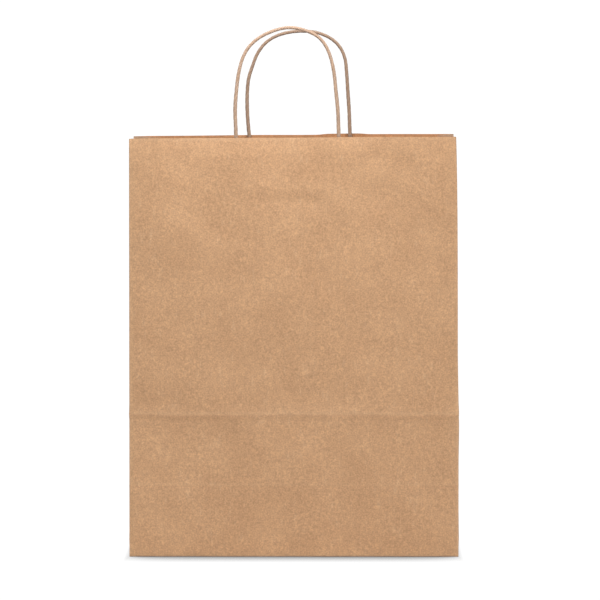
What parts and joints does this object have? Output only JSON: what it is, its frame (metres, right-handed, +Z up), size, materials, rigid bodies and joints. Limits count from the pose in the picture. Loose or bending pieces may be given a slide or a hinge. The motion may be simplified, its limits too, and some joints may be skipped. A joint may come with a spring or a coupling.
{
  "type": "gift bag",
  "caption": "Upright rectangular kraft paper gift bag with folded side gussets, a pasted block bottom and twisted cord handles glued inside the mouth.",
  "frame": {"origin": "middle of the bag's footprint, on the surface it stands on", "axes": "+Z up through the mouth, -Y out of the front panel, +X to the right seen from the front"},
  "size_m": [0.242, 0.104, 0.3897],
  "materials": {
    "kraft_paper": "matte uncoated kraft",
    "patch_paper": "matte uncoated kraft",
    "twisted_cord": "matte twisted paper"
  },
  "bodies": {
    "front": {"front_panel": "kraft_paper", "front_wide_patch": "patch_paper", "front_narrow_patch": "patch_paper", "front_handle_tail_left": "twisted_cord", "front_handle_tail_right": "twisted_cord"},
    "back": {"back_panel": "kraft_paper", "seam_flap": "kraft_paper", "back_wide_patch": "patch_paper", "back_narrow_patch": "patch_paper", "back_handle_tail_left": "twisted_cord", "back_handle_tail_right": "twisted_cord"},
    "left_front_half": {"left_gusset_front": "kraft_paper"},
    "left_back_half": {"left_gusset_back": "kraft_paper"},
    "right_front_half": {"right_gusset_front": "kraft_paper"},
    "right_back_half": {"right_gusset_back": "kraft_paper"},
    "bottom": {"bottom_front_flap": "kraft_paper", "bottom_back_flap": "kraft_paper", "bottom_end_flap_left": "kraft_paper", "bottom_end_flap_right": "kraft_paper"},
    "left_lower": {"left_gusset_lower": "kraft_paper"},
    "right_lower": {"right_gusset_lower": "kraft_paper"},
    "front_handle": {"front_handle_loop": "twisted_cord"},
    "back_handle": {"back_handle_loop": "twisted_cord"}
  },
  "joints": [
    {"name": "fold_flat", "type": "hinge", "parent": "front", "child": "left_front_half", "pos_m": [-0.1208, -0.0515, 0], "axis": [0, 0, -1], "range_deg": [0, 87]},
    {"name": "left_gusset_crease", "type": "hinge", "parent": "left_front_half", "child": "left_back_half", "pos_m": [-0.12115, -0.00068, 0], "axis": [0, 0, 1], "range_deg": [0, 174]},
    {"name": "back_left_edge", "type": "hinge", "parent": "left_back_half", "child": "back", "pos_m": [-0.1208, 0.05015, 0], "axis": [0, 0, -1], "range_deg": [0, 87]},
    {"name": "front_right_edge", "type": "hinge", "parent": "front", "child": "right_front_half", "pos_m": [0.1208, -0.0515, 0], "axis": [0, 0, 1], "range_deg": [0, 87]},
    {"name": "right_gusset_crease", "type": "hinge", "parent": "right_front_half", "child": "right_back_half", "pos_m": [0.12115, -0.00068, 0], "axis": [0, 0, -1], "range_deg": [0, 174]},
    {"name": "bottom_fold", "type": "hinge", "parent": "front", "child": "bottom", "pos_m": [0, -0.0515, 0.0015], "axis": [1, 0, 0], "range_deg": [0, 87]},
    {"name": "left_lower_fold", "type": "hinge", "parent": "bottom", "child": "left_lower", "pos_m": [-0.1208, -0.0515, 0.0015], "axis": [0, 1, 0], "range_deg": [0, 87], "deforming": ["left_gusset_lower"]},
    {"name": "right_lower_fold", "type": "hinge", "parent": "bottom", "child": "right_lower", "pos_m": [0.1208, -0.0515, 0.0015], "axis": [0, -1, 0], "range_deg": [0, 87], "deforming": ["right_gusset_lower"]},
    {"name": "front_handle_swing", "type": "hinge", "parent": "front", "child": "front_handle", "pos_m": [-0.00455, -0.0496, 0.3102], "axis": [1, 0, 0], "range_deg": [-60, 90]},
    {"name": "back_handle_swing", "type": "hinge", "parent": "back", "child": "back_handle", "pos_m": [0.00396, 0.0491, 0.3102], "axis": [-1, 0, 0], "range_deg": [-60, 90]}
  ],
  "couplings": [
    {"joint": "left_gusset_crease", "follows": "fold_flat", "ratio": 2},
    {"joint": "back_left_edge", "follows": "fold_flat", "ratio": 1},
    {"joint": "front_right_edge", "follows": "fold_flat", "ratio": 1},
    {"joint": "right_gusset_crease", "follows": "fold_flat", "ratio": 2},
    {"joint": "bottom_fold", "follows": "fold_flat", "ratio": 1},
    {"joint": "left_lower_fold", "follows": "fold_flat", "ratio": 1},
    {"joint": "right_lower_fold", "follows": "fold_flat", "ratio": 1}
  ]
}
